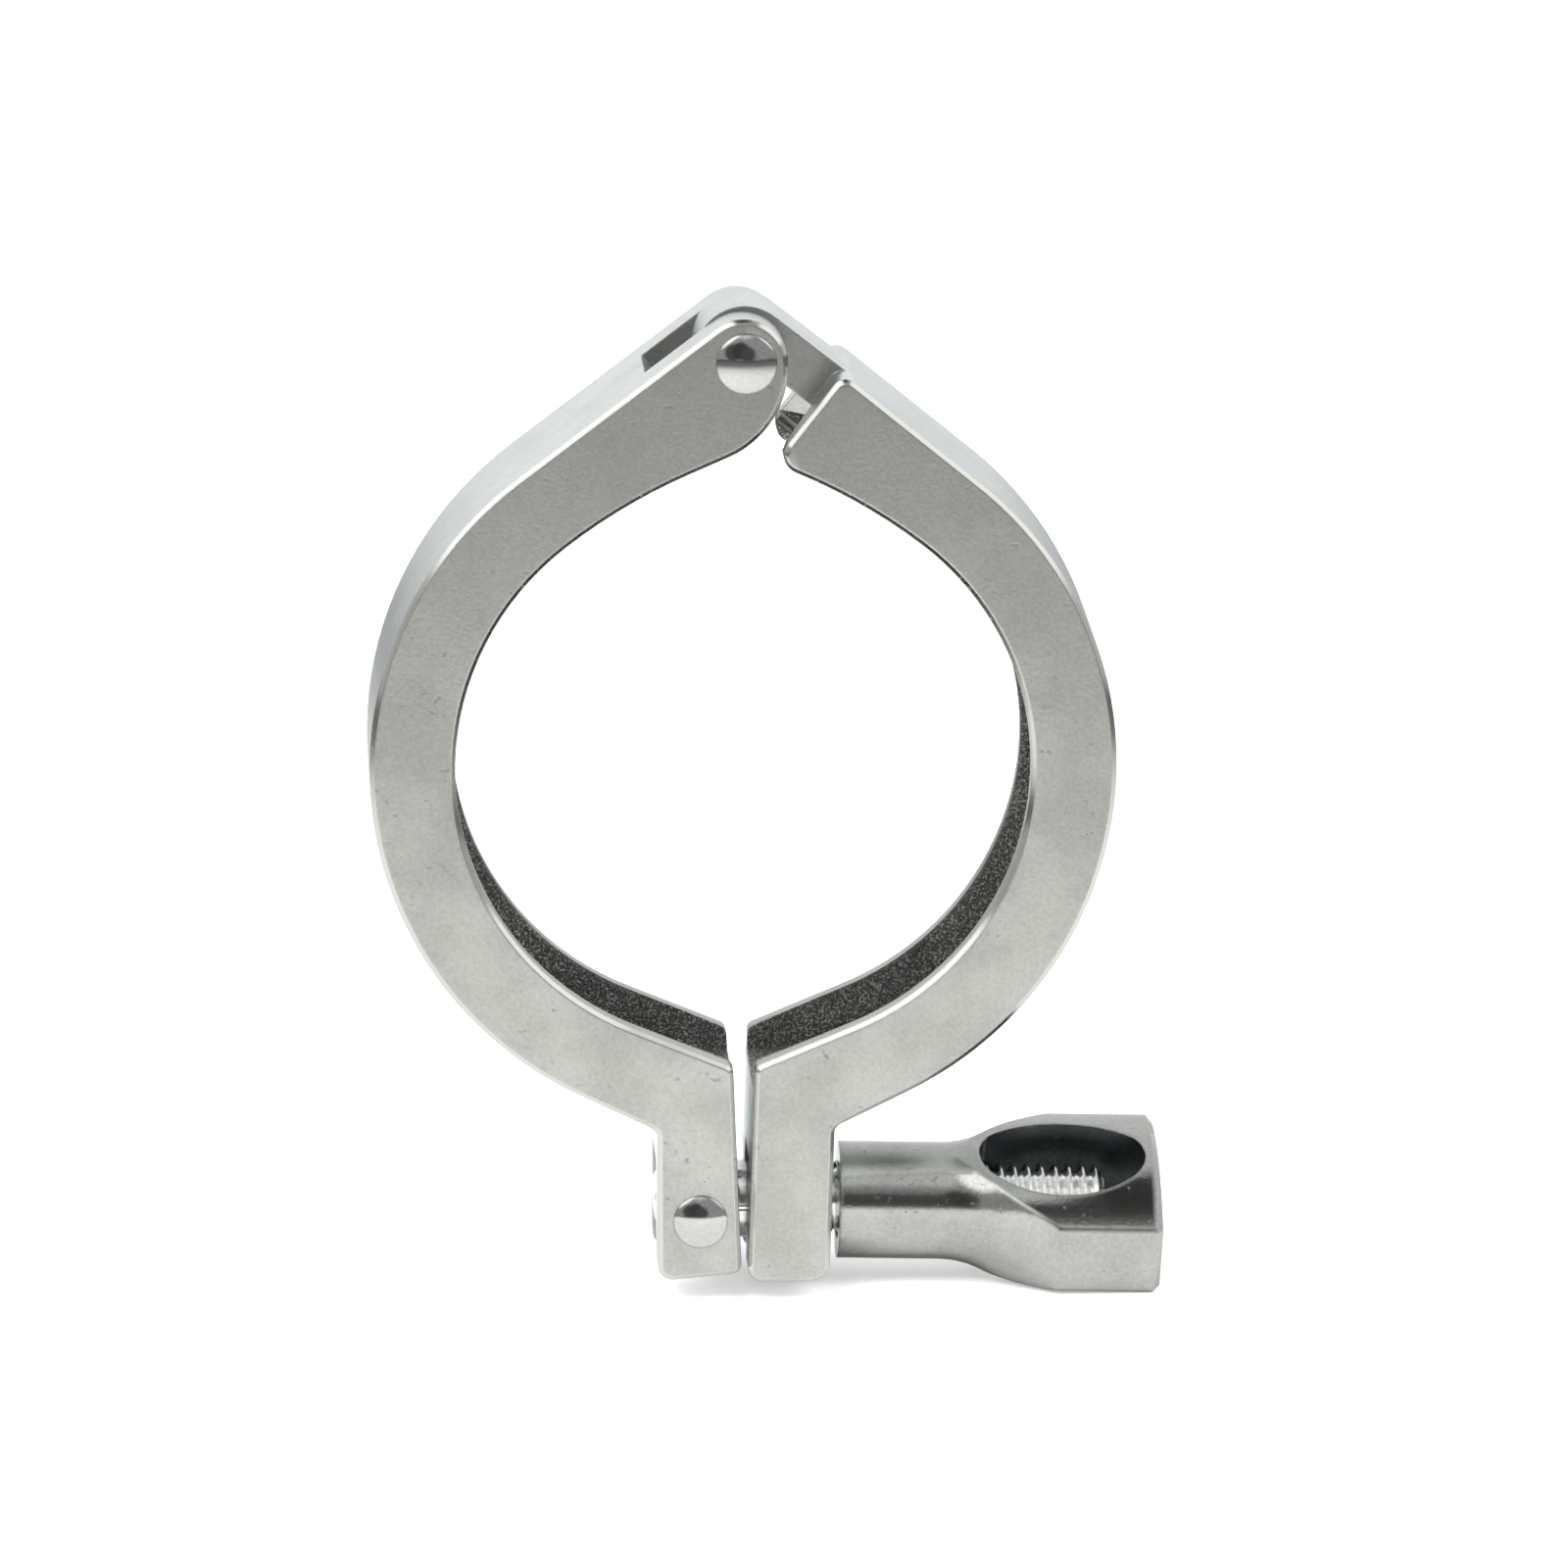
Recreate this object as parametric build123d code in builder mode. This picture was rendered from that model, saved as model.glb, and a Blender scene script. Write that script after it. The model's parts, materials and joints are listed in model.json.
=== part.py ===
"""Single-pin sanitary clamp for two-inch ferrules.

Two cast channel halves hinge on a rivet at the top.  An eye bolt swings on a second
rivet in the left lug, lies in the forked right lug and is drawn up by a long wing nut.
Millimetres.  The origin is the centre of the bore, Y runs along the bore, Z is up.
"""
from build123d import *
from math import acos, atan, cos, degrees, hypot, radians, sin, sqrt, tan
import os

os.makedirs("parts", exist_ok=True)

# ---- ring: channel section, the same in both halves ----
bore_radius = 29.3  # lips, round the ferrule necks
groove_depth = 4.0  # from the lips to the floor of the flange groove
ring_wall = 4.7  # from the groove floor to the outside
groove_mouth = 14.6  # groove width at the lips
flank_angle = 20.0  # groove flanks lean in by this much
clamp_width = 19.0  # along the bore
edge_break = 0.5  # ground edges of the faces

# ---- lips where they leave the bore circle ----
flare_start = 38.0  # degrees from the top of the bore
flare_turn = 14.5  # turn of the flare
flare_radius = 58.0
throat_angle = 22.5  # degrees from the bottom, where the lips run straight to the split
lip_round = 1.0  # corners at the split
root_angle = 26.0  # degrees from the bottom, where the outside runs straight to the lugs

# ---- hinge at the top ----
hinge_rise = 4.0  # pin axis above the outside of the ring
hinge_offset = 0.3  # pin axis towards the nut, from the middle of the ears
ear_radius = 4.5
ear_heel_round = 10.0  # lower corner of the ears
barrel_radius = 4.95  # rolled end of the tongue
tongue_width = 8.9
tongue_step = 0.2  # the tongue lies this much below the outside of the ring
clevis_clearance = 0.1  # each side of the tongue
clevis_reach = 8.9  # slot end, from the middle of the ears
shoulder_reach = 8.4  # end of the right half, from the pin axis
shoulder_round = 1.5
shoulder_tip_round = 2.0

# ---- hinge rivet ----
hinge_pin_radius = 2.4
hinge_head_radius = 3.1

# ---- closing lugs ----
split_top = 1.1  # half gap between the lugs at the bore
left_lug_outside = 8.85
left_foot_gap = 0.25
left_foot_inside = 15.1  # foot corners, below the ring
left_foot_outside = 15.9
right_lug_outside = 9.3
right_foot_gap = 0.35
right_foot_width = 8.4
right_foot_drop = 16.1  # foot, below the ring
left_foot_round = 1.5
right_foot_round = 2.0
lug_root_round = 1.0
fork_width = 8.4  # slots for the swing bolt
fork_headroom = 0.7  # above the bolt's eye

# ---- swing bolt, 5/16 inch ----
bolt_pin_inset = 4.5  # pin axis, from the split
bolt_pin_drop = 9.5  # pin axis, below the ring
bolt_pin_radius = 2.3
bolt_head_radius = 2.8
bolt_radius = 3.97
bolt_length = 42.0  # from the pin axis
bolt_droop = 1.5  # degrees below level
bolt_point = 0.9  # chamfer of the end
eye_radius = 4.6
eye_width = 7.9
eye_chamfer = 0.4

# ---- rivet heads ----
head_rim = 0.35
head_slope = 1.2  # width of the turned slope round the crown
head_rise = 0.6  # crown above the rim

# ---- wing nut ----
nut_gap = 0.75  # from the right lug
nut_length = 33.0
neck_radius = 6.05
neck_length = 10.5
trumpet_radius = 10.0
trumpet_angle = 27.0
wing_width = 20.6
wing_crown = 6.2  # half thickness at the middle
wing_edge = 3.9  # half thickness at the sides
wing_twist = 21.0  # back of the wing up
wing_edge_round = 0.8
wing_end_break = 0.7  # edges of the far end
window_length = 17.2
window_width = 12.4
window_centre = 23.0  # along the nut
window_end_radius = 4.9

# ---- fits ----
rivet_fit = 0.02  # radial, in the ears and lugs
running_fit = 0.05  # radial, in the tongue, the eye and the nut

# ---- worked out from the sizes above ----
half_width = clamp_width / 2
groove_radius = bore_radius + groove_depth
ring_radius = groove_radius + ring_wall
hinge_height = ring_radius + hinge_rise
foot_level = ring_radius + right_foot_drop
bolt_pin_x = -bolt_pin_inset
nut_start = bolt_pin_inset + right_lug_outside + nut_gap
bolt_pin_z = -ring_radius - bolt_pin_drop
clevis_width = tongue_width + 2 * clevis_clearance
fork_top = bolt_pin_z + eye_radius + fork_headroom
left_slope = acos((ring_radius - ear_radius) / hinge_height)
right_slope = (acos((ring_radius - barrel_radius - tongue_step) / hypot(hinge_height, hinge_offset))
               - atan(hinge_offset / hinge_height))
hinge_run = sqrt(hinge_height**2 - (ring_radius - ear_radius) ** 2)
hinge_pin_centre = Vector(hinge_offset, 0, hinge_height)
bolt_pin_centre = Vector(bolt_pin_x, 0, bolt_pin_z)
bolt_line = Vector(cos(radians(bolt_droop)), 0, -sin(radians(bolt_droop)))
left_arm = Plane((0, 0, 0), x_dir=(-sin(left_slope), 0, cos(left_slope)),
                 z_dir=(cos(left_slope), 0, sin(left_slope)))
right_arm = Plane((0, 0, 0), x_dir=(sin(right_slope), 0, cos(right_slope)),
                  z_dir=(-cos(right_slope), 0, sin(right_slope)))
bolt_plane = Plane(bolt_pin_centre, x_dir=(0, 1, 0), z_dir=bolt_line)


def on_circle(radius, angle):
    """A point of the X-Z plane, from its radius and its angle in degrees from +X."""
    return radius * cos(radians(angle)), radius * sin(radians(angle))


def groove_cutter(arm, run):
    """The flange groove's trapezoid, taken round the bore and straight on along the arm."""
    def half_gap(radius):
        return groove_mouth / 2 - (radius - bore_radius) * tan(radians(flank_angle))

    inner = bore_radius - split_top
    with BuildPart() as cutter:
        with BuildSketch(Plane.XY) as section:
            with BuildLine():
                Polyline((inner, -half_gap(inner)), (groove_radius, -half_gap(groove_radius)),
                         (groove_radius, half_gap(groove_radius)), (inner, half_gap(inner)),
                         close=True)
            make_face()
        revolve(axis=Axis.Y)
        with BuildSketch(arm):
            add(section.sketch_local)
        extrude(amount=run)
    return cutter.part


def bore_cutter(x, z, radius):
    """A hole along the bore's direction, right through the clamp."""
    with BuildPart() as cutter:
        with BuildSketch(Plane.XZ):
            with Locations((x, z)):
                Circle(radius)
        extrude(amount=clamp_width, both=True)
    return cutter.part


def fork_cutter(near, far):
    """The slot for the swing bolt, open below and at both sides of the lug."""
    with BuildPart() as cutter:
        with BuildSketch(Plane.XZ):
            with BuildLine():
                Polyline((near, fork_top), (far, fork_top), (far, -2 * foot_level),
                         (near, -2 * foot_level), close=True)
            make_face()
        extrude(amount=fork_width / 2, both=True)
    return cutter.part


def nearest(corners, point):
    return corners.sort_by_distance(Vector(*point))[0]


# ---- left half: clevis at the top, lug with the bolt's eye at the bottom ----
with BuildPart() as left_half:
    with BuildSketch(Plane.XZ) as left_outline:
        with BuildLine():
            arm_angle = 90 + degrees(left_slope)
            ears = CenterArc((0, hinge_height), ear_radius, 0, arm_angle)
            back = Line(ears @ 1, on_circle(ring_radius, arm_angle))
            outside = CenterArc((0, 0), ring_radius, arm_angle, 270 - root_angle - arm_angle)
            lug_side = Line((-left_lug_outside, 0), (-left_lug_outside, -foot_level), mode=Mode.PRIVATE)
            lug_corner = IntersectingLine(outside @ 1, outside % 1, lug_side) @ 1
            foot_outer = (-left_lug_outside, -ring_radius - left_foot_outside)
            foot_inner = (-left_foot_gap, -ring_radius - left_foot_inside)
            throat_start = on_circle(bore_radius, 270 - throat_angle)
            throat_tip = (-split_top,
                          -(bore_radius - split_top * sin(radians(throat_angle)))
                          / cos(radians(throat_angle)))
            Polyline(lug_corner, foot_outer, foot_inner, throat_tip, throat_start)
            lips = CenterArc((0, 0), bore_radius, 270 - throat_angle,
                             flare_start + throat_angle - 180)
            flare = JernArc(lips @ 1, lips % 1, flare_radius, -flare_turn)
            run_out = Line(flare @ 1, (flare @ 1) + (flare % 1) * ring_radius, mode=Mode.PRIVATE)
            front = IntersectingLine(ears @ 0, (0, -1), run_out)
            Line(front @ 1, flare @ 1)
        make_face()
        fillet(nearest(left_outline.vertices(), front @ 1), ear_heel_round)
        fillet(nearest(left_outline.vertices(), foot_outer), left_foot_round)
        fillet(nearest(left_outline.vertices(), foot_inner), lip_round)
        fillet(nearest(left_outline.vertices(), throat_tip), lip_round)
        fillet(nearest(left_outline.vertices(), lug_corner), lug_root_round)
    extrude(amount=half_width, both=True)
    chamfer(left_half.faces().filter_by(Axis.Y).edges(), edge_break)
    add(groove_cutter(left_arm, hinge_run - clevis_reach), mode=Mode.SUBTRACT)
    with BuildSketch(left_arm.offset(hinge_run - clevis_reach)):
        with Locations((groove_radius, 0)):
            Rectangle(ring_radius, clevis_width)
    extrude(amount=2 * clevis_reach, mode=Mode.SUBTRACT)
    add(fork_cutter(-ring_radius / 2, 0), mode=Mode.SUBTRACT)
    add(bore_cutter(hinge_offset, hinge_height, hinge_pin_radius + rivet_fit), mode=Mode.SUBTRACT)
    add(bore_cutter(bolt_pin_x, bolt_pin_z, bolt_pin_radius + rivet_fit), mode=Mode.SUBTRACT)

left_half.part.label = "left_half"
export_step(left_half.part, "parts/left_half.step")


# ---- right half: tongue at the top, forked lug at the bottom ----
with BuildPart() as right_half:
    with BuildSketch(Plane.XZ) as right_outline:
        with BuildLine():
            out = Vector(sin(right_slope), cos(right_slope))
            along = Vector(cos(right_slope), -sin(right_slope))
            shoulder = Vector(hinge_offset, hinge_height) + along * shoulder_reach
            shoulder += out * (barrel_radius + tongue_step)
            back = Line(shoulder, out * ring_radius)
            outside = CenterArc((0, 0), ring_radius, 90 - degrees(right_slope),
                                degrees(right_slope) + root_angle - 180)
            lug_side = Line((right_lug_outside, 0), (right_lug_outside, -foot_level), mode=Mode.PRIVATE)
            lug_corner = IntersectingLine(outside @ 1, outside % 1, lug_side) @ 1
            foot_outer = (right_foot_gap + right_foot_width, -foot_level)
            foot_inner = (right_foot_gap, -foot_level)
            throat_start = on_circle(bore_radius, throat_angle - 90)
            throat_tip = (split_top,
                          -(bore_radius - split_top * sin(radians(throat_angle)))
                          / cos(radians(throat_angle)))
            Polyline(lug_corner, foot_outer, foot_inner, throat_tip, throat_start)
            lips = CenterArc((0, 0), bore_radius, throat_angle - 90,
                             180 - flare_start - throat_angle)
            flare = JernArc(lips @ 1, lips % 1, flare_radius, flare_turn)
            run_out = Line(flare @ 1, (flare @ 1) + (flare % 1) * ring_radius, mode=Mode.PRIVATE)
            face = IntersectingLine(shoulder, out * -1, run_out)
            Line(face @ 1, flare @ 1)
        make_face()
        fillet(nearest(right_outline.vertices(), shoulder), shoulder_round)
        fillet(nearest(right_outline.vertices(), face @ 1), shoulder_tip_round)
        fillet(nearest(right_outline.vertices(), foot_outer), right_foot_round)
        fillet(nearest(right_outline.vertices(), foot_inner), left_foot_round)
        fillet(nearest(right_outline.vertices(), throat_tip), lip_round)
        fillet(nearest(right_outline.vertices(), lug_corner), lug_root_round)
    extrude(amount=half_width, both=True)
    chamfer(right_half.faces().filter_by(Axis.Y).edges(), edge_break)
    add(groove_cutter(right_arm, hinge_run), mode=Mode.SUBTRACT)
    with BuildSketch(Plane.XZ) as tongue:
        with BuildLine():
            pin = Vector(hinge_offset, hinge_height)
            top = pin + out * barrel_radius
            Polyline(top, top + along * (shoulder_reach + shoulder_round),
                     pin + along * (shoulder_reach + shoulder_round), pin, close=True)
        make_face()
        with Locations((hinge_offset, hinge_height)):
            Circle(barrel_radius)
    extrude(amount=tongue_width / 2, both=True)
    add(fork_cutter(0, right_lug_outside + lug_root_round), mode=Mode.SUBTRACT)
    add(bore_cutter(hinge_offset, hinge_height, hinge_pin_radius + running_fit), mode=Mode.SUBTRACT)

right_half.part.label = "right_half"
export_step(right_half.part, "parts/right_half.step")


# ---- rivets, with a low crowned head at both ends ----
def rivet_profile(shank, head):
    """Half section of a rivet: X is the radius, Y runs along it."""
    rim = half_width + head_rim
    with BuildSketch() as profile:
        with BuildLine():
            Polyline((0, rim + head_rise), (head - head_slope, rim + head_rise), (head, rim),
                     (head, half_width), (shank, half_width), (shank, 0))
            mirror(about=Plane.XZ)
            Line((0, rim + head_rise), (0, -rim - head_rise))
        make_face()
    return profile.sketch


with BuildPart() as hinge_pin:
    with BuildSketch(Plane(hinge_pin_centre)):
        add(rivet_profile(hinge_pin_radius, hinge_head_radius))
    revolve(axis=Axis(hinge_pin_centre, (0, 1, 0)))

hinge_pin.part.label = "hinge_pin"
export_step(hinge_pin.part, "parts/hinge_pin.step")

with BuildPart() as bolt_pin:
    with BuildSketch(Plane(bolt_pin_centre)):
        add(rivet_profile(bolt_pin_radius, bolt_head_radius))
    revolve(axis=Axis(bolt_pin_centre, (0, 1, 0)))

bolt_pin.part.label = "bolt_pin"
export_step(bolt_pin.part, "parts/bolt_pin.step")


# ---- swing bolt: a flat eye and a round shank ----
with BuildPart() as swing_bolt:
    with BuildSketch(Plane.XZ):
        with Locations((bolt_pin_x, bolt_pin_z)):
            Circle(eye_radius)
    extrude(amount=eye_width / 2, both=True)
    chamfer(swing_bolt.faces().filter_by(Axis.Y).edges(), eye_chamfer)
    with BuildSketch(bolt_plane):
        Circle(bolt_radius)
    extrude(amount=bolt_length)
    chamfer(swing_bolt.faces().sort_by(Axis.X)[-1].edges(), bolt_point)
    add(bore_cutter(bolt_pin_x, bolt_pin_z, bolt_pin_radius + running_fit), mode=Mode.SUBTRACT)

swing_bolt.part.label = "swing_bolt"
export_step(swing_bolt.part, "parts/swing_bolt.step")


# ---- wing nut: long neck, flat crowned wing with an oval window ----
# Its own plane has X across the wing, Y through the wing and Z along the bolt.
wing_across = Vector(0, 1, 0).rotate(Axis((0, 0, 0), bolt_line), wing_twist)
nut_plane = Plane(bolt_pin_centre + bolt_line * nut_start, x_dir=wing_across, z_dir=bolt_line)
turning_plane = Plane(nut_plane.origin, x_dir=nut_plane.x_dir, z_dir=nut_plane.y_dir * -1)


def oval(width, length, end_radius):
    """An oval of four tangent arcs, its length along Y."""
    end = length / 2 - end_radius
    side = width / 2
    side_radius = (side**2 + end**2 - end_radius**2) / (2 * (side - end_radius))
    reach = side_radius / (side_radius - end_radius)
    join = ((side - side_radius) * (1 - reach), end * reach)
    with BuildSketch() as outline:
        with BuildLine():
            RadiusArc((side, 0), join, -side_radius)
            RadiusArc(join, (0, length / 2), -end_radius)
            mirror(about=Plane.YZ)
            mirror(about=Plane.XZ)
        make_face()
    return outline.sketch


with BuildPart() as wing_nut:
    with BuildSketch(turning_plane):
        with BuildLine():
            neck = Line((neck_radius, 0), (neck_radius, neck_length))
            trumpet = JernArc(neck @ 1, (0, 1), trumpet_radius, -trumpet_angle)
            bell_radius = (wing_width + wing_edge) / 2
            rim = Line((bell_radius, 0), (bell_radius, nut_length), mode=Mode.PRIVATE)
            bell = IntersectingLine(trumpet @ 1, trumpet % 1, rim)
            Polyline(bell @ 1, (bell_radius, nut_length), (0, nut_length), (0, 0), neck @ 0)
        make_face()
    revolve(axis=Axis(nut_plane.origin, nut_plane.z_dir))
    with BuildSketch(nut_plane) as wing_section:
        with BuildLine():
            half_wing = wing_width / 2
            ThreePointArc((-half_wing, wing_edge), (0, wing_crown), (half_wing, wing_edge))
            Line((half_wing, wing_edge), (half_wing, -wing_edge))
            ThreePointArc((half_wing, -wing_edge), (0, -wing_crown), (-half_wing, -wing_edge))
            Line((-half_wing, -wing_edge), (-half_wing, wing_edge))
        make_face()
        fillet(wing_section.vertices(), wing_edge_round)
    extrude(amount=nut_length, mode=Mode.INTERSECT)
    chamfer(wing_nut.faces().sort_by(Axis.X)[-1].edges(), wing_end_break)
    with BuildSketch(turning_plane):
        add(oval(window_width, window_length, window_end_radius).moved(Location((0, window_centre))))
    extrude(amount=wing_width, both=True, mode=Mode.SUBTRACT)
    with BuildSketch(nut_plane):
        Circle(bolt_radius + running_fit)
    extrude(amount=window_centre, mode=Mode.SUBTRACT)

wing_nut.part.label = "wing_nut"
export_step(wing_nut.part, "parts/wing_nut.step")
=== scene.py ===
"""Looks of the hinged clamp: tumbled castings, polished rivets, a threaded swing bolt and a
long wing nut."""
import json
from math import asin, cos, pi, radians, sin

import bmesh
import bpy
from mathutils import Matrix, Vector


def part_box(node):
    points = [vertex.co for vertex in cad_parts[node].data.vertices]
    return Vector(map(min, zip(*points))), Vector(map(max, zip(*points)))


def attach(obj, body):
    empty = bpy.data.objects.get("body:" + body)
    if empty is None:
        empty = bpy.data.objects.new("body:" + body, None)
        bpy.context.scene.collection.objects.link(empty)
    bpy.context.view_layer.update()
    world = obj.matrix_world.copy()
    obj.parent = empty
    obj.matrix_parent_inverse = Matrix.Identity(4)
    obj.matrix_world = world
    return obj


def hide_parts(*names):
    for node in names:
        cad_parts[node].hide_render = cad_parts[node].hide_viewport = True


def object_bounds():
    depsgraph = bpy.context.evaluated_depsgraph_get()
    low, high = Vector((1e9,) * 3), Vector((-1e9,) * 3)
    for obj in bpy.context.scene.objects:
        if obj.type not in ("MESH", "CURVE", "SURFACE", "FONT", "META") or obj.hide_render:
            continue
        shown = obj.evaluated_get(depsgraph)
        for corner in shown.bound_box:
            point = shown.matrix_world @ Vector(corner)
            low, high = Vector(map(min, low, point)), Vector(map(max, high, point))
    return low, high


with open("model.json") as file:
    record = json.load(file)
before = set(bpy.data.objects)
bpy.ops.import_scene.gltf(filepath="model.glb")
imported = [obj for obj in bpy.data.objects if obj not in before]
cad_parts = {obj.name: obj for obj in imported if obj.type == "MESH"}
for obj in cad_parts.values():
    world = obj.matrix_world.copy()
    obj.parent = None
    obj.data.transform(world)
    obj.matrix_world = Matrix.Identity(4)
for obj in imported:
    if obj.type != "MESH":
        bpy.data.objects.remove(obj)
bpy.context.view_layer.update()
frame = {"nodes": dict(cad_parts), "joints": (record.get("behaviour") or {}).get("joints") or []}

# ---- left half ----
# Investment-cast stainless channel, half a ring, with the two ears of the hinge at the top
# and a forked lug at the bottom.  Tumbled to a grey satin; its edges are ground bright.
MM = 0.001


def merged(node):
    """A bmesh of a CAD node, its triangles joined up again into whole flat faces."""
    bm = bmesh.new()
    bm.from_mesh(frame["nodes"][node].data)
    bmesh.ops.remove_doubles(bm, verts=bm.verts, dist=0.002 * MM)
    bmesh.ops.dissolve_limit(bm, angle_limit=radians(0.2), verts=bm.verts, edges=bm.edges)
    return bm


def split_large_faces(bm):
    """Makes triangles of the faces that have more than four corners."""
    bmesh.ops.triangulate(bm, faces=[f for f in bm.faces if len(f.verts) > 4])


def round_edges(bm, width, segments, sharpest=20):
    """Rounds every edge that turns by more than the sharpest angle in degrees."""
    sharp = [e for e in bm.edges
             if len(e.link_faces) == 2 and e.calc_face_angle() > radians(sharpest)]
    bmesh.ops.bevel(bm, geom=sharp, offset=width, segments=segments, profile=0.5,
                    affect="EDGES", clamp_overlap=True, material=-1)
    split_large_faces(bm)


def finished(bm, name, crisp=None):
    """The bmesh as a smooth object; edges turned by more than crisp degrees stay sharp."""
    for face in bm.faces:
        face.smooth = True
    if crisp:
        for edge in bm.edges:
            edge.smooth = len(edge.link_faces) == 2 and edge.calc_face_angle() < radians(crisp)
    mesh = bpy.data.meshes.new(name)
    bm.to_mesh(mesh)
    bm.free()
    piece = bpy.data.objects.new(name, mesh)
    bpy.context.scene.collection.objects.link(piece)
    weighted = piece.modifiers.new("even_shading", "WEIGHTED_NORMAL")
    weighted.weight = 100
    weighted.keep_sharp = True
    return piece


def stand_for(piece, node, body, material):
    """The piece takes the CAD node's place on its body."""
    piece.data.materials.append(material)
    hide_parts(node)
    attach(piece, body)


def feed(tree, socket, value):
    """Sets a socket to a number or a colour of three numbers, or links an output to it."""
    if isinstance(value, bpy.types.NodeSocket):
        tree.links.new(value, socket)
    else:
        socket.default_value = (*value, 1) if isinstance(value, tuple) else value


def math_node(tree, operation, *values):
    """One maths node, fed from sockets or plain numbers; gives its output socket."""
    node = tree.nodes.new("ShaderNodeMath")
    node.operation = operation
    for socket, value in zip(node.inputs, values):
        feed(tree, socket, value)
    return node.outputs[0]


def step(tree, value, start, end, first=0.0, last=1.0):
    """A smooth change from first to last while the value goes from start to end."""
    change = tree.nodes.new("ShaderNodeMapRange")
    change.interpolation_type = "SMOOTHSTEP"
    for label, amount in (("Value", value), ("From Min", start), ("From Max", end),
                          ("To Min", first), ("To Max", last)):
        feed(tree, change.inputs[label], amount)
    return change.outputs["Result"]


def blend(tree, mask, first, last):
    """A colour that goes from first to last with the mask."""
    mix = tree.nodes.new("ShaderNodeMix")
    mix.data_type = "RGBA"
    for label, value in (("Factor", mask), ("A", first), ("B", last)):
        feed(tree, mix.inputs[label], value)
    return mix.outputs["Result"]


def noise(tree, place, scale, detail, roughness):
    """The value of a noise pattern over a place."""
    texture = tree.nodes.new("ShaderNodeTexNoise")
    for label, value in (("Vector", place), ("Scale", scale), ("Detail", detail),
                         ("Roughness", roughness)):
        feed(tree, texture.inputs[label], value)
    return texture.outputs["Fac"]


def distance(tree, place, axes):
    """How far a place is from the origin, counting the axes that are one."""
    kept = tree.nodes.new("ShaderNodeVectorMath")
    kept.operation = "MULTIPLY"
    kept.inputs[1].default_value = axes
    tree.links.new(place, kept.inputs[0])
    length = tree.nodes.new("ShaderNodeVectorMath")
    length.operation = "LENGTH"
    tree.links.new(kept.outputs[0], length.inputs[0])
    return length.outputs["Value"]


def unsigned_y(tree, vector):
    """The Y part of a position or a normal, the same for front and back."""
    parts = tree.nodes.new("ShaderNodeSeparateXYZ")
    tree.links.new(vector, parts.inputs[0])
    return math_node(tree, "ABSOLUTE", parts.outputs["Y"])


def worn_metal_group():
    """Colour, roughness and relief of worn steel: clouds, specks, a fine grain, soft edges."""
    group = bpy.data.node_groups.new("tumbled_cast", "ShaderNodeTree")
    for label, kind in (("Color", "Color"), ("Dark Color", "Color"), ("Grain Size", "Float"),
                        ("Grain Height", "Float"), ("Specks", "Float"), ("Roughness", "Float"),
                        ("Polish", "Float"), ("Edge Radius", "Float")):
        group.interface.new_socket(name=label, in_out="INPUT", socket_type="NodeSocket" + kind)
    for label, kind in (("Color", "Color"), ("Roughness", "Float"), ("Normal", "Vector")):
        group.interface.new_socket(name=label, in_out="OUTPUT", socket_type="NodeSocket" + kind)
    given = group.nodes.new("NodeGroupInput").outputs
    result = group.nodes.new("NodeGroupOutput").inputs
    place = group.nodes.new("ShaderNodeTexCoord").outputs["Object"]

    grain = noise(group, place, given["Grain Size"], 3, 0.6)
    fine = step(group, grain, 0.3, 0.7)
    clouds = step(group, noise(group, place, 120, 4, 0.6), 0.35, 0.65)
    dots = step(group, noise(group, place, 1500, 2, 0.4), 0.64, 0.70)
    patches = step(group, noise(group, place, 260, 2, 0.6), 0.45, 0.62)
    specks = math_node(group, "MULTIPLY", math_node(group, "MULTIPLY", dots, patches),
                       given["Specks"])
    unpolished = math_node(group, "SUBTRACT", 1, given["Polish"])

    shade = math_node(group, "ADD", math_node(group, "MULTIPLY", clouds, 0.26),
                      math_node(group, "MULTIPLY", fine, 0.30))
    dark = math_node(group, "MULTIPLY", math_node(group, "MAXIMUM", shade, specks), unpolished)
    feed(group, result["Color"], blend(group, dark, given["Color"], given["Dark Color"]))

    rough = math_node(group, "MULTIPLY_ADD", specks, 0.25, given["Roughness"])
    rough = math_node(group, "MULTIPLY_ADD", clouds, 0.05, rough)
    feed(group, result["Roughness"],
         math_node(group, "MULTIPLY_ADD", given["Polish"], -0.22, rough))

    soft_edge = group.nodes.new("ShaderNodeBevel")
    soft_edge.samples = 4
    feed(group, soft_edge.inputs["Radius"], given["Edge Radius"])
    relief = group.nodes.new("ShaderNodeBump")
    for label, value in (("Strength", 1.0), ("Normal", soft_edge.outputs["Normal"]),
                         ("Height", math_node(group, "SUBTRACT", grain, specks)),
                         ("Distance", math_node(group, "MULTIPLY", given["Grain Height"],
                                                unpolished))):
        feed(group, relief.inputs[label], value)
    feed(group, result["Normal"], relief.outputs["Normal"])
    return group


tumbled_cast = worn_metal_group()


def metal(name, color, dark, roughness, grain_size, grain_height, specks, edge_radius=0.3):
    """A steel finish, its heights and radii in mm; gives its material and the inputs of its
    tumbled_cast node."""
    material = bpy.data.materials.new(name)
    material.use_nodes = True
    tree = material.node_tree
    shader = tree.nodes["Principled BSDF"]
    shader.inputs["Metallic"].default_value = 1.0
    skin = tree.nodes.new("ShaderNodeGroup")
    skin.node_tree = tumbled_cast
    for label, value in (("Color", color), ("Dark Color", dark), ("Roughness", roughness),
                         ("Grain Size", grain_size), ("Grain Height", grain_height * MM),
                         ("Specks", specks), ("Polish", 0.0),
                         ("Edge Radius", edge_radius * MM)):
        feed(tree, skin.inputs[label], value)
    for result, label in (("Color", "Base Color"), ("Roughness", "Roughness"),
                          ("Normal", "Normal")):
        feed(tree, shader.inputs[label], skin.outputs[result])
    return material, skin.inputs


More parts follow.
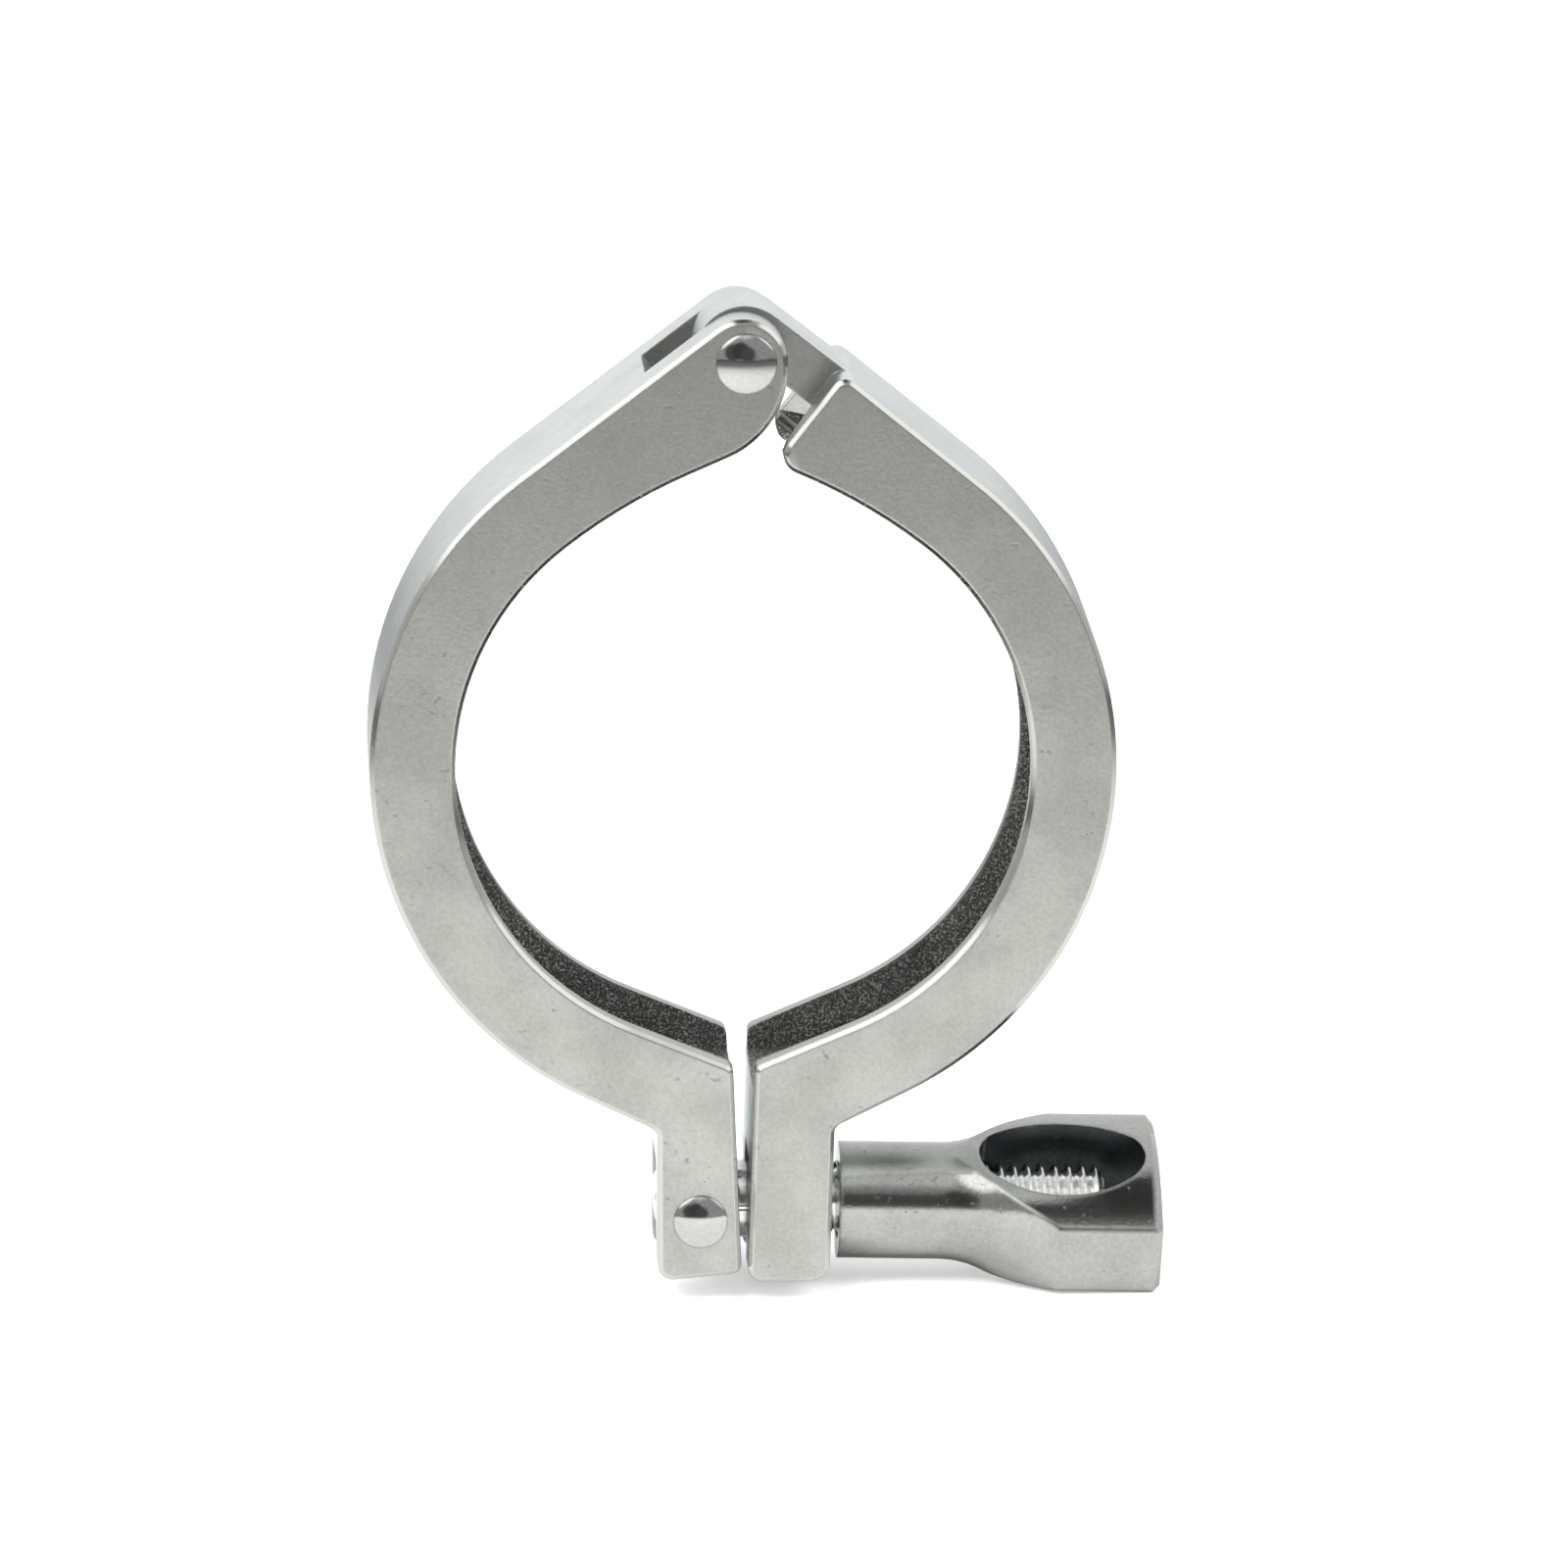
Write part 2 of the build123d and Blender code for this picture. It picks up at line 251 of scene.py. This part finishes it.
face_color, face_dark = (0.56, 0.56, 0.532), (0.34, 0.34, 0.325)
# Outer sides: a pale colour that is a painted reflection of the bright surround.
side_sheen_color, side_sheen_dark = (0.86, 0.90, 0.90), (0.60, 0.63, 0.63)
# Groove colours: darker, partly for the rougher cast and partly as painted shade; the white is
# for painted glints.
grit_and_shade_low, painted_glint_color, groove_cast_and_shade_dark = (0.26, 0.26, 0.25), (1.0, 1.0, 0.97), (0.10, 0.10, 0.095)
face_grain, groove_grain = 2600, 4500
face_relief, groove_relief = 0.012, 1.012
cast_steel, cast_skin = metal("cast_steel", face_color, face_dark, roughness=0.34,
                              grain_size=face_grain, grain_height=face_relief, specks=0.7)
half_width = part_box("left_half")[1].y
edge_break, groove_half_width, groove_radius = 0.5 * MM, 7.35 * MM, 34.2 * MM
fade = 0.2 * MM

# The ground edges shine; the outer sides are painted pale, a painted reflection of the bright
# surround; the groove is painted dark, partly for its rougher cast and partly as painted shade,
# with white specks as painted glints, and keeps its grit.
tree = cast_steel.node_tree
own = tree.nodes.new("ShaderNodeTexCoord").outputs
across, turned = unsigned_y(tree, own["Object"]), unsigned_y(tree, own["Normal"])
beside_face = step(tree, across, half_width - 1.4 * edge_break, half_width - 1.1 * edge_break)
edge = math_node(tree, "MULTIPLY", beside_face, step(tree, turned, 0.985, 0.93))
within = step(tree, distance(tree, own["Object"], (1, 0, 1)), groove_radius,
              groove_radius - fade)
groove = math_node(tree, "MULTIPLY", within,
                   step(tree, across, groove_half_width, groove_half_width - fade))
# Mask of the outer sides that get the painted pale reflection.
pale_side_sheen = math_node(tree, "MULTIPLY", math_node(tree, "SUBTRACT", 1, within),
                 step(tree, turned, 0.5, 0.2))
# White specks in the groove: painted glints.
glint_specks = step(tree, noise(tree, own["Object"], 4200, 2, 0.5), 0.5, 0.6)
for label, value in (
        ("Color", blend(tree, groove, blend(tree, pale_side_sheen, face_color, side_sheen_color),
                        blend(tree, glint_specks, grit_and_shade_low, painted_glint_color))),
        ("Dark Color", blend(tree, groove, blend(tree, pale_side_sheen, face_dark, side_sheen_dark),
                             groove_cast_and_shade_dark)),
        ("Grain Height", math_node(tree, "MULTIPLY_ADD", groove,
                                   (groove_relief - face_relief) * MM, face_relief * MM)),
        ("Grain Size", math_node(tree, "MULTIPLY_ADD", groove,
                                 groove_grain - face_grain, face_grain)),
        ("Polish", edge)):
    feed(tree, cast_skin[label], value)


def cast_half(node, name):
    """One half's casting, its edges rounded."""
    bm = merged(node)
    round_edges(bm, 0.2 * MM, 3)
    stand_for(finished(bm, name), node, node, cast_steel)


cast_half("left_half", "left_casting")

# ---- right half ----
# The mirror casting, with a rolled tongue for the hinge at the top and a forked lug that the
# swing bolt drops into at the bottom.  Same steel and finish.
cast_half("right_half", "right_casting")

# ---- hinge rivet ----
# Solid stainless rivet, pressed through the two ears and the tongue.  Its low domed heads
# are polished like a mirror.
polished_rivet, _ = metal("polished_rivet", (0.60, 0.605, 0.59), (0.38, 0.38, 0.38),
                          roughness=0.06, grain_size=3000, grain_height=0.0, specks=0.1)


def rivet(node, name):
    """A rivet that spans its CAD node's box: half a profile, mirrored and spun round Y."""
    low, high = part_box(node)
    head, end = (high.x - low.x) / 2, (high.y - low.y) / 2
    shank, dome_rise = 0.8 * head, 0.85 * MM
    dome_radius = (head**2 + dome_rise**2) / (2 * dome_rise)
    bm = bmesh.new()
    crown = bm.verts.new((0, end, 0))
    dome = bmesh.ops.spin(bm, geom=[crown], cent=(0, end - dome_radius, 0), axis=(0, 0, 1),
                          angle=-asin(head / dome_radius), steps=8)
    tip = dome["geom_last"][0]
    for radius, place in ((head, half_width), (shank, half_width), (shank, 0)):
        tip = bmesh.ops.extrude_vert_indiv(bm, verts=[tip])["verts"][0]
        tip.co = (radius, place, 0)
    bmesh.ops.mirror(bm, geom=bm.verts[:] + bm.edges[:], matrix=Matrix.Identity(4),
                     merge_dist=0.001 * MM, axis="Y")
    bmesh.ops.spin(bm, geom=bm.verts[:] + bm.edges[:], cent=(0, 0, 0), axis=(0, 1, 0),
                   angle=2 * pi, steps=72, use_merge=True)
    bmesh.ops.remove_doubles(bm, verts=bm.verts, dist=0.001 * MM)
    bmesh.ops.recalc_face_normals(bm, faces=bm.faces)
    round_edges(bm, 0.07 * MM, 2, sharpest=32)
    bmesh.ops.translate(bm, verts=bm.verts, vec=(low + high) / 2)
    stand_for(finished(bm, name), node, "left_half", polished_rivet)


rivet("hinge_pin", "hinge_rivet")

# ---- bolt rivet ----
# A second, slightly smaller rivet, pressed through the left lug and the bolt's eye.  Made
# and polished as the first.
rivet("bolt_pin", "bolt_rivet")

# ---- swing bolt ----
# Forged stainless eye bolt, flat at the eye and threaded 5/16-18 to its end.  It turns on
# the bolt rivet.
bolt_steel, _ = metal("bolt_steel", (0.95, 0.95, 0.93), (0.55, 0.55, 0.53),
                      roughness=0.10, grain_size=2600, grain_height=0.002, specks=0.3)
joints = {joint["name"]: joint for joint in frame["joints"]}
pin = Vector(joints["bolt_swing"]["pos_m"])
along = Vector(joints["nut_travel"]["axis"]).normalized()
pitch, crest = 25.4 / 18 * MM, 3.97 * MM
root = crest - 0.61 * pitch
point = 0.9 * MM
bolt_end = (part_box("swing_bolt")[1].x - pin.x - (crest - point) * abs(along.z)) / along.x
thread_start, overlap = 7.5 * MM, 0.1 * MM
steps_a_turn = 36


def cut_off(bm, place, outward):
    """Cuts away what lies outward of a plane."""
    bmesh.ops.bisect_plane(bm, geom=bm.verts[:] + bm.edges[:] + bm.faces[:], plane_co=place,
                           plane_no=outward, clear_outer=True)


def close_holes(bm):
    """Fills every open rim."""
    bmesh.ops.holes_fill(bm, edges=[e for e in bm.edges if e.is_boundary], sides=0)


bm = merged("swing_bolt")
cut_off(bm, pin + along * thread_start, along)
close_holes(bm)
round_edges(bm, 0.15 * MM, 2)
eye = bpy.data.meshes.new("eye")
bm.to_mesh(eye)
bm.free()

# The thread: one tooth's profile, swept up a helix that is too long at both ends, then cut.
bm = bmesh.new()
tooth = [bm.verts.new((radius, 0, height * pitch)) for radius, height in
         ((root, 0), (root, 1 / 4), (crest, 9 / 16), (crest, 11 / 16), (root, 1))]
ridge = [bm.edges.new(pair) for pair in zip(tooth, tooth[1:])]
bmesh.ops.translate(bm, verts=bm.verts, vec=(0, 0, thread_start - 2 * pitch))
turns = int((bolt_end - thread_start) / pitch) + 4
bmesh.ops.spin(bm, geom=tooth + ridge, cent=(0, 0, 0), axis=(0, 0, 1),
               dvec=(0, 0, pitch / steps_a_turn), angle=2 * pi * turns,
               steps=turns * steps_a_turn)
bmesh.ops.remove_doubles(bm, verts=bm.verts, dist=0.002 * MM)
cut_off(bm, (0, 0, thread_start - overlap), (0, 0, -1))
cut_off(bm, (0, 0, bolt_end), (0, 0, 1))
close_holes(bm)
for v in bm.verts:
    widest = crest - max(0, v.co.z - (bolt_end - point))
    if v.co.xy.length > widest:
        v.co.xy *= widest / v.co.xy.length
bmesh.ops.recalc_face_normals(bm, faces=bm.faces)
to_bolt = Matrix.Translation(pin) @ along.to_track_quat("Z", "Y").to_matrix().to_4x4()
bmesh.ops.transform(bm, matrix=to_bolt, verts=bm.verts)
bm.from_mesh(eye)
split_large_faces(bm)
stand_for(finished(bm, "eye_bolt", crisp=30), "swing_bolt", "swing_bolt",
          bolt_steel)

# ---- wing nut ----
# Long cast stainless nut with a round neck that flares into a flat crowned wing, pierced by
# an oval window.  Polished harder than the halves; the walls of the bore and the window are
# painted dark, a painted shade.
nut_steel, _ = metal("nut_steel", (0.48, 0.485, 0.465), (0.28, 0.28, 0.27), roughness=0.12,
                     grain_size=2200, grain_height=0.010, specks=0.6, edge_radius=0.7)
# A dark copy of the steel for the walls of the bore and the window: painted shade.
nut_bore_shade, _ = metal("nut_bore_shade", (0.17, 0.19, 0.20), (0.08, 0.09, 0.10), roughness=0.28,
                      grain_size=2200, grain_height=0.02, specks=0.8)
bore_shade_reach = 7 * MM
bm = merged("wing_nut")
round_edges(bm, 0.4 * MM, 4)
bm.normal_update()
# Faces close to the axis that look towards it get the painted shade.
for face in bm.faces:
    centre = face.calc_center_median()
    inward = pin + along * (centre - pin).dot(along) - centre
    if inward.length < bore_shade_reach and inward.normalized().dot(face.normal) > 0.3:
        face.material_index = 1
wing_nut = finished(bm, "long_wing_nut")
stand_for(wing_nut, "wing_nut", "wing_nut", nut_steel)
wing_nut.data.materials.append(nut_bore_shade)

# ---- floor, light and camera ----
# The clamp stands on a floor painted dark away from the clamp, a painted dim surround for the
# metal to mirror, that glows for the camera alone, a painted glow that shows it white out to a
# white surround.  The metal mirrors a dim room in front, a pale one behind, dark patches and two
# bright softboxes.
low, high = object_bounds()
floor_dim_and_glowing = bpy.data.materials.new("floor_dim_and_glowing")
floor_dim_and_glowing.use_nodes = True
tree = floor_dim_and_glowing.node_tree
paper = tree.nodes["Principled BSDF"].inputs
own_place = tree.nodes.new("ShaderNodeTexCoord").outputs["Object"]
# Painted dimming: the floor's colour falls dark away from the clamp, for the metal to mirror.
far_dim_glow = step(tree, distance(tree, own_place, (1, 1, 1)), 0.10, 0.50)
seen = tree.nodes.new("ShaderNodeLightPath").outputs["Is Camera Ray"]
# Painted glow: for the camera alone the floor emits, most far out, so it looks white and keeps
# the shadow near the clamp.
camera_glow = math_node(tree, "MULTIPLY", seen, math_node(tree, "MULTIPLY_ADD", far_dim_glow, 0.8, 0.42))
for label, value in (("Roughness", 0.9), ("Specular IOR Level", 0.0),
                     ("Base Color", blend(tree, far_dim_glow, (0.82, 0.82, 0.81), (0.13, 0.13, 0.13))),
                     ("Emission Color", (1, 1, 1)), ("Emission Strength", camera_glow)):
    feed(tree, paper[label], value)
bm = bmesh.new()
bmesh.ops.create_grid(bm, x_segments=1, y_segments=1, size=4.0)
bmesh.ops.translate(bm, verts=bm.verts, vec=(0, 0, low[2] - 0.02 * MM))
floor = finished(bm, "floor")
floor.data.materials.append(floor_dim_and_glowing)

world = bpy.data.worlds.new("surround")
world.use_nodes = True
bpy.context.scene.world = world
tree = world.node_tree
direction = tree.nodes.new("ShaderNodeTexCoord").outputs["Generated"]


def towards(azimuth, elevation):
    """How squarely the sky points to an azimuth, from the front and positive to the right."""
    azimuth, elevation = radians(azimuth), radians(elevation)
    dot = tree.nodes.new("ShaderNodeVectorMath")
    dot.operation = "DOT_PRODUCT"
    dot.inputs[1].default_value = (sin(azimuth) * cos(elevation),
                                   -cos(azimuth) * cos(elevation), sin(elevation))
    tree.links.new(direction, dot.inputs[0])
    return dot.outputs["Value"]


level = step(tree, towards(180, 0), -0.35, 0.3, 0.42, 0.9)
# Each patch: azimuth, elevation, the cosines at its rim and at its full part, brightness.
for azimuth, elevation, rim, full, brightness in (
        (0, 57, 0.935, 0.985, 0.85),    # pale wall, high in front
        (180, 87, 0.935, 0.975, 0.05),  # dark ceiling
        (-25, 13, 0.945, 0.98, 0.10),   # dark room in front, in three patches
        (-10, 17, 0.94, 0.975, 0.07),
        (5, 10, 0.95, 0.985, 0.10),
        (-65, 48, 0.86, 0.93, 1.9),     # softbox on the left
        (78, 38, 0.90, 0.95, 1.5)):     # softbox on the right
    change = math_node(tree, "SUBTRACT", brightness, level)
    level = math_node(tree, "MULTIPLY_ADD", step(tree, towards(azimuth, elevation), rim, full),
                      change, level)
seen = tree.nodes.new("ShaderNodeLightPath").outputs["Is Camera Ray"]
sky = tree.nodes["Background"].inputs
feed(tree, sky["Color"], (1, 1, 1))
feed(tree, sky["Strength"], math_node(tree, "MAXIMUM", level, seen))


def aimed(thing, name, place, gaze):
    """An object that holds a lamp or a camera, at a place and looking along a gaze."""
    holder = bpy.data.objects.new(name, thing)
    holder.location = place
    holder.rotation_euler = gaze.to_track_quat("-Z", "Y").to_euler()
    bpy.context.scene.collection.objects.link(holder)
    return holder


middle = (Vector(low) + Vector(high)) / 2
for name, place, watts in (("key", Vector((-0.4, -0.5, 0.8)), 8),
                           ("fill", Vector((0.6, -0.4, 0.7)), 5)):
    panel = bpy.data.lights.new(name, "AREA")
    panel.size = 0.6
    panel.energy = watts
    aimed(panel, name, place, middle - place).visible_glossy = False

view = bpy.data.cameras.new("camera")
view.lens = 269
view.sensor_width = 36
turn, tilt = radians(2.92), radians(13.3)
camera_distance, aim = 1.2, Vector((0.00455, 0, -0.00376))
gaze = Vector((sin(turn) * cos(tilt), cos(turn) * cos(tilt), -sin(tilt)))
bpy.context.scene.camera = aimed(view, "camera", aim - camera_distance * gaze, gaze)
bpy.context.scene.view_settings.view_transform = "Standard"
